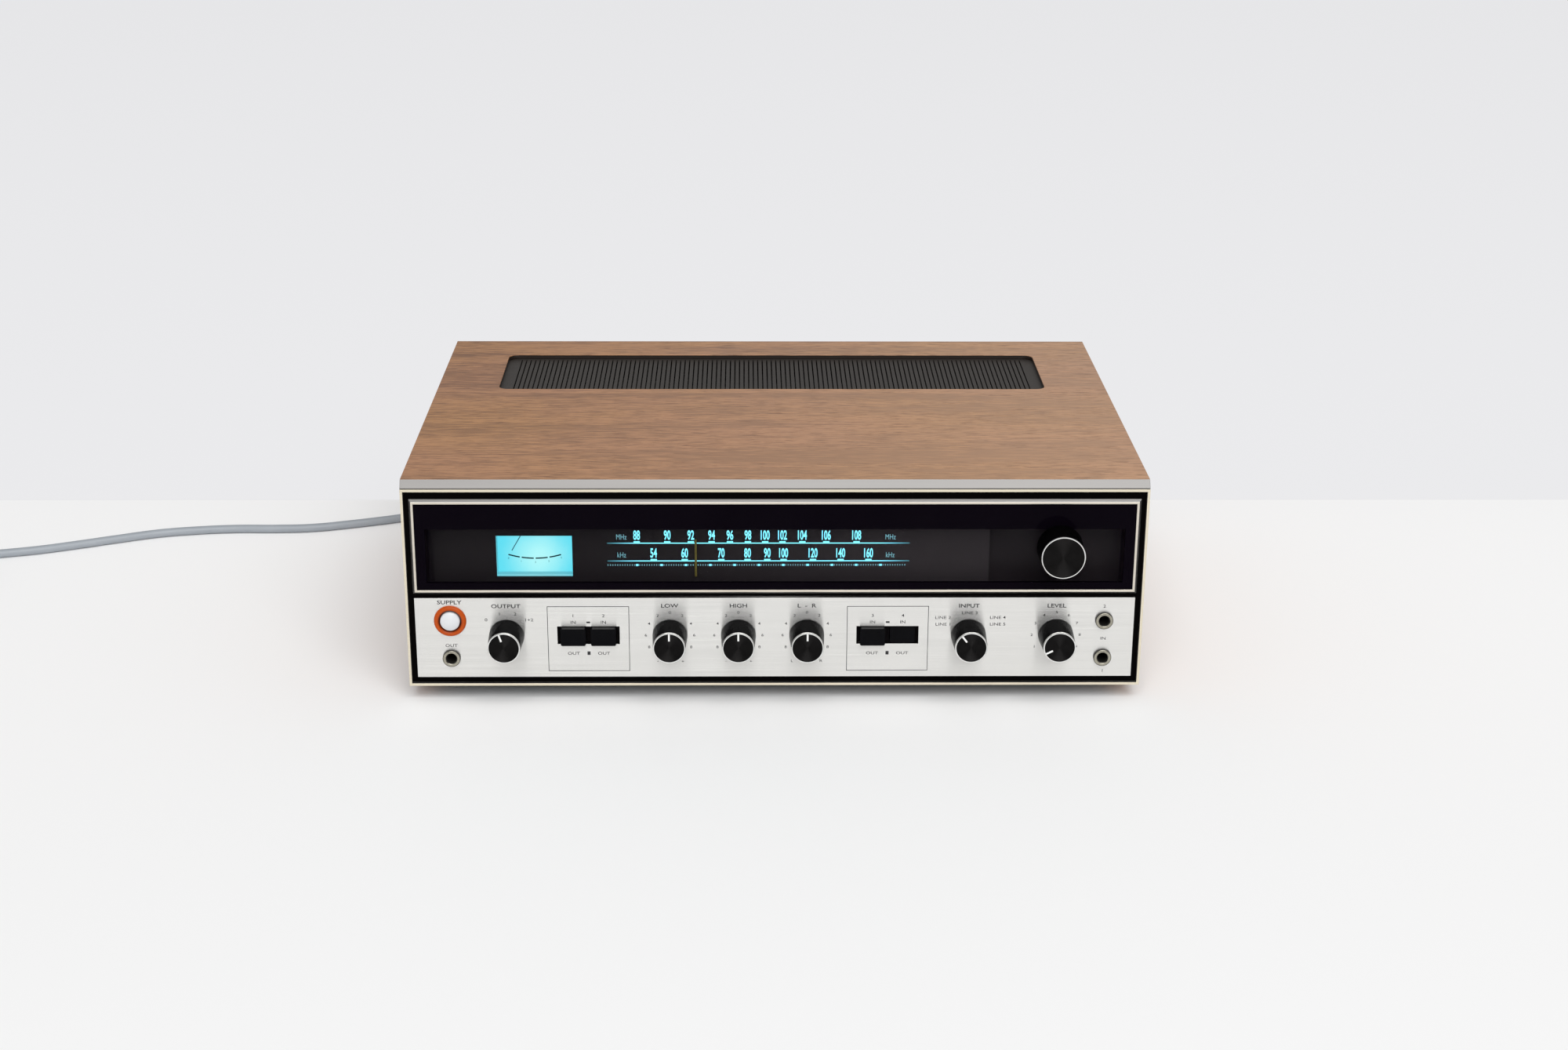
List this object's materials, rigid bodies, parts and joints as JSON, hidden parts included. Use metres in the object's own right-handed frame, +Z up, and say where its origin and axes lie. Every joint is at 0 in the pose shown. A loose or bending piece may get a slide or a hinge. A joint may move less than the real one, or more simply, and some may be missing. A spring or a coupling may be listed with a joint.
{
  "type": "stereo receiver",
  "caption": "Table-top stereo receiver with a walnut cabinet, vented top, lit tuning dial with meter, brushed panel of knobs and buttons, and a cord-driven tuning mechanism inside.",
  "frame": {"origin": "on the floor under the middle of the set, measured with its knobs and without the mains cord", "axes": "+X to the right seen from the front, +Y to the back, +Z up"},
  "size_m": [0.8338, 0.3608, 0.1345],
  "materials": {
    "walnut": "satin lacquer over walnut veneer",
    "grille": "matt black-brown paint",
    "bezel": "satin anodised",
    "surround": "matt black paint",
    "panel": "brushed left to right, printed black",
    "dial_frame": "satin",
    "smoked_glass": "polished smoked acrylic",
    "scale": "black with lit print",
    "pointer": "matt olive paint",
    "meter_case": "moulded white",
    "meter_face": "lit from behind",
    "needle": "black",
    "lamps": "clear glass",
    "knobs": "black with a bright turned ring",
    "steel": "turned",
    "drive_cord": "waxed braid",
    "pulleys": "moulded ivory",
    "gang": "plain",
    "lit_ring": "translucent orange",
    "white_button": "white",
    "switches": "moulded",
    "jacks": "turned and plated",
    "controls": "plated",
    "wafers": "phenolic",
    "push_buttons": "black",
    "chassis": "zinc plated",
    "rear_panel": "grey paint",
    "feet": "moulded black",
    "transformer": "varnished laminations",
    "cans": "sleeved in blue",
    "heat_sink": "black anodised",
    "transistors": "plated",
    "boards": "phenolic board with its parts",
    "sockets": "plated",
    "terminals": "moulded black",
    "antenna": "moulded black",
    "screws": "plated",
    "mains_cord": "grey-blue sheath",
    "tie": "black strap"
  },
  "bodies": {
    "set": {"cabinet_top": "walnut", "cabinet_side_left": "walnut", "cabinet_side_right": "walnut", "vent_grille": "grille", "front_bezel": "bezel", "front_plate": "surround", "control_panel": "panel", "dial_frame": "dial_frame", "dial_glass": "smoked_glass", "dial_scale": "scale", "meter_case": "meter_case", "meter_face": "meter_face", "dial_lamps": "lamps", "dial_cord": "drive_cord", "capacitor_frame": "gang", "power_ring": "lit_ring", "power_switch": "switches", "headphone_jack": "jacks", "microphone_jacks": "jacks", "potentiometers": "controls", "rotary_switches": "wafers", "push_switches": "switches", "chassis": "chassis", "rear_panel": "rear_panel", "feet": "feet", "power_transformer": "transformer", "filter_capacitors": "cans", "heat_sink": "heat_sink", "output_transistors": "transistors", "amplifier_board": "boards", "tuner_board": "boards", "phono_sockets": "sockets", "speaker_terminals": "terminals", "antenna_terminals": "terminals", "panel_screws": "screws", "strain_relief": "mains_cord", "power_cord": "mains_cord", "cord_coil": "mains_cord", "cord_tie": "tie", "mains_plug": "mains_cord"},
    "tuning": {"tuning_knob": "knobs", "tuning_shaft": "steel"},
    "pointer": {"dial_pointer": "pointer"},
    "drum": {"tuning_drum": "pulleys", "capacitor_rotor": "gang"},
    "left_pulley": {"pulley_left": "pulleys"},
    "right_pulley": {"pulley_right": "pulleys"},
    "needle": {"meter_needle": "needle"},
    "power_button": {"power_button": "white_button"},
    "button_1": {"push_button_1": "push_buttons"},
    "button_2": {"push_button_2": "push_buttons"},
    "button_3": {"push_button_3": "push_buttons"},
    "button_4": {"push_button_4": "push_buttons"},
    "speakers_knob": {"speakers_knob": "knobs"},
    "bass_knob": {"bass_knob": "knobs"},
    "treble_knob": {"treble_knob": "knobs"},
    "balance_knob": {"balance_knob": "knobs"},
    "selector_knob": {"selector_knob": "knobs"},
    "volume_knob": {"volume_knob": "knobs"},
    "antenna": {"antenna_bar": "antenna"}
  },
  "joints": [
    {"name": "tuning_turn", "type": "hinge", "parent": "set", "child": "tuning", "pos_m": [0.162, -0.135, 0.09485], "axis": [0, 1, 0], "range_deg": [-484, 1521]},
    {"name": "pointer_slide", "type": "slide", "parent": "set", "child": "pointer", "axis": [1, 0, 0], "range_m": [-0.0338, 0.1062]},
    {"name": "drum_turn", "type": "hinge", "parent": "set", "child": "drum", "pos_m": [0.03, -0.135, 0.06176], "axis": [0, 1, 0], "range_deg": [-43.5, 136.6]},
    {"name": "left_pulley_turn", "type": "hinge", "parent": "set", "child": "left_pulley", "pos_m": [-0.0995, -0.135, 0.1115], "axis": [0, 1, 0], "range_deg": [-285, 895]},
    {"name": "right_pulley_turn", "type": "hinge", "parent": "set", "child": "right_pulley", "pos_m": [0.0805, -0.135, 0.1115], "axis": [0, 1, 0], "range_deg": [-285, 895]},
    {"name": "needle_swing", "type": "hinge", "parent": "set", "child": "needle", "pos_m": [-0.1383, -0.135, 0.1101], "axis": [0, -1, 0], "range_deg": [0, 60], "stiffness_Nm_per_rad": 0.00001, "springref_deg": -28.65},
    {"name": "power_push", "type": "slide", "parent": "set", "child": "power_button", "axis": [0, 1, 0], "range_m": [-0.003, 0.001]},
    {"name": "button_1_push", "type": "slide", "parent": "set", "child": "button_1", "axis": [0, 1, 0], "range_m": [0, 0.0045]},
    {"name": "button_2_push", "type": "slide", "parent": "set", "child": "button_2", "axis": [0, 1, 0], "range_m": [0, 0.0045]},
    {"name": "button_3_push", "type": "slide", "parent": "set", "child": "button_3", "axis": [0, 1, 0], "range_m": [0, 0.0045]},
    {"name": "button_4_push", "type": "slide", "parent": "set", "child": "button_4", "axis": [0, 1, 0], "range_m": [-0.0045, 0]},
    {"name": "speakers_turn", "type": "hinge", "parent": "set", "child": "speakers_knob", "pos_m": [-0.1546, -0.135, 0.0409], "axis": [0, 1, 0], "range_deg": [-35, 70]},
    {"name": "bass_turn", "type": "hinge", "parent": "set", "child": "bass_knob", "pos_m": [-0.0607, -0.135, 0.0409], "axis": [0, 1, 0], "range_deg": [-150, 150]},
    {"name": "treble_turn", "type": "hinge", "parent": "set", "child": "treble_knob", "pos_m": [-0.0213, -0.135, 0.0409], "axis": [0, 1, 0], "range_deg": [-150, 150]},
    {"name": "balance_turn", "type": "hinge", "parent": "set", "child": "balance_knob", "pos_m": [0.0181, -0.135, 0.0409], "axis": [0, 1, 0], "range_deg": [-150, 150]},
    {"name": "selector_turn", "type": "hinge", "parent": "set", "child": "selector_knob", "pos_m": [0.1115, -0.135, 0.0409], "axis": [0, 1, 0], "range_deg": [-35, 105]},
    {"name": "volume_turn", "type": "hinge", "parent": "set", "child": "volume_knob", "pos_m": [0.162, -0.135, 0.0409], "axis": [0, 1, 0], "range_deg": [-31, 269]},
    {"name": "antenna_swing", "type": "hinge", "parent": "set", "child": "antenna", "pos_m": [0.05, 0.1472, 0.1055], "axis": [0, 0, 1], "range_deg": [0, 90]}
  ],
  "couplings": [
    {"joint": "pointer_slide", "follows": "tuning_turn", "m_per_rad": 0.004},
    {"joint": "drum_turn", "follows": "tuning_turn", "ratio": 0.08976},
    {"joint": "left_pulley_turn", "follows": "tuning_turn", "ratio": 0.58824},
    {"joint": "right_pulley_turn", "follows": "tuning_turn", "ratio": 0.58824}
  ]
}
